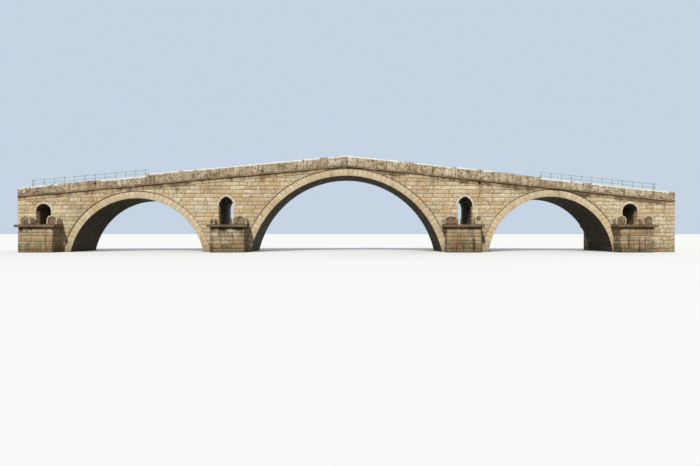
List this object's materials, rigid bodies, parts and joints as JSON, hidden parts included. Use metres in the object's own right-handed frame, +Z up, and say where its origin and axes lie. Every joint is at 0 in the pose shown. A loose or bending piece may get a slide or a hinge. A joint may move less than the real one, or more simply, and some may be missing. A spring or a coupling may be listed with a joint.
{
  "type": "stone arch bridge, 1:2 scale model",
  "caption": "Humped ashlar masonry bridge with a large river arch, smaller side arches, relief openings, cutwaters and solid stone parapets, at half scale.",
  "frame": {"origin": "at water level under the crown of the middle arch, halfway between the two faces", "axes": "+X along the bridge to the right of the picture, +Y away from the viewer across the bridge, +Z up"},
  "size_m": [34.5, 4.8, 5.075],
  "materials": {
    "wall_stone": "weathered ashlar blocks, warm cream with brown stains",
    "ring_stone": "dressed radial blocks, warm cream",
    "coping_stone": "worn slabs, brownish grey",
    "parapet_stone": "upright slabs, brownish grey, whitewashed on top",
    "paving_stone": "worn grey paving",
    "rubble_core": "rough rubble in mortar",
    "railing_metal": "pale grey-green paint, worn"
  },
  "bodies": {
    "root": {"back_cheek_stones": "coping_stone", "back_copings": "coping_stone", "back_left_cornice": "coping_stone", "back_left_end_spandrel": "wall_stone", "back_left_parapet": "parapet_stone", "back_left_pier_spandrel": "wall_stone", "back_left_railing": "railing_metal", "back_right_cornice": "coping_stone", "back_right_end_spandrel": "wall_stone", "back_right_parapet": "parapet_stone", "back_right_pier_spandrel": "wall_stone", "back_right_railing": "railing_metal", "centre_arch": "ring_stone", "front_cheek_stones": "coping_stone", "front_copings": "coping_stone", "front_left_cornice": "coping_stone", "front_left_end_spandrel": "wall_stone", "front_left_parapet": "parapet_stone", "front_left_pier_spandrel": "wall_stone", "front_left_railing": "railing_metal", "front_right_cornice": "coping_stone", "front_right_end_spandrel": "wall_stone", "front_right_parapet": "parapet_stone", "front_right_pier_spandrel": "wall_stone", "front_right_railing": "railing_metal", "left_abutment": "wall_stone", "left_arch": "ring_stone", "left_end_cutwaters": "wall_stone", "left_end_fill": "rubble_core", "left_end_relief_arch": "ring_stone", "left_pier": "wall_stone", "left_pier_cutwaters": "wall_stone", "left_pier_fill": "rubble_core", "left_pier_relief_arch": "ring_stone", "left_roadway": "paving_stone", "right_abutment": "wall_stone", "right_arch": "ring_stone", "right_end_cutwaters": "wall_stone", "right_end_fill": "rubble_core", "right_end_relief_arch": "ring_stone", "right_pier": "wall_stone", "right_pier_cutwaters": "wall_stone", "right_pier_fill": "rubble_core", "right_pier_relief_arch": "ring_stone", "right_roadway": "paving_stone"}
  },
  "joints": []
}
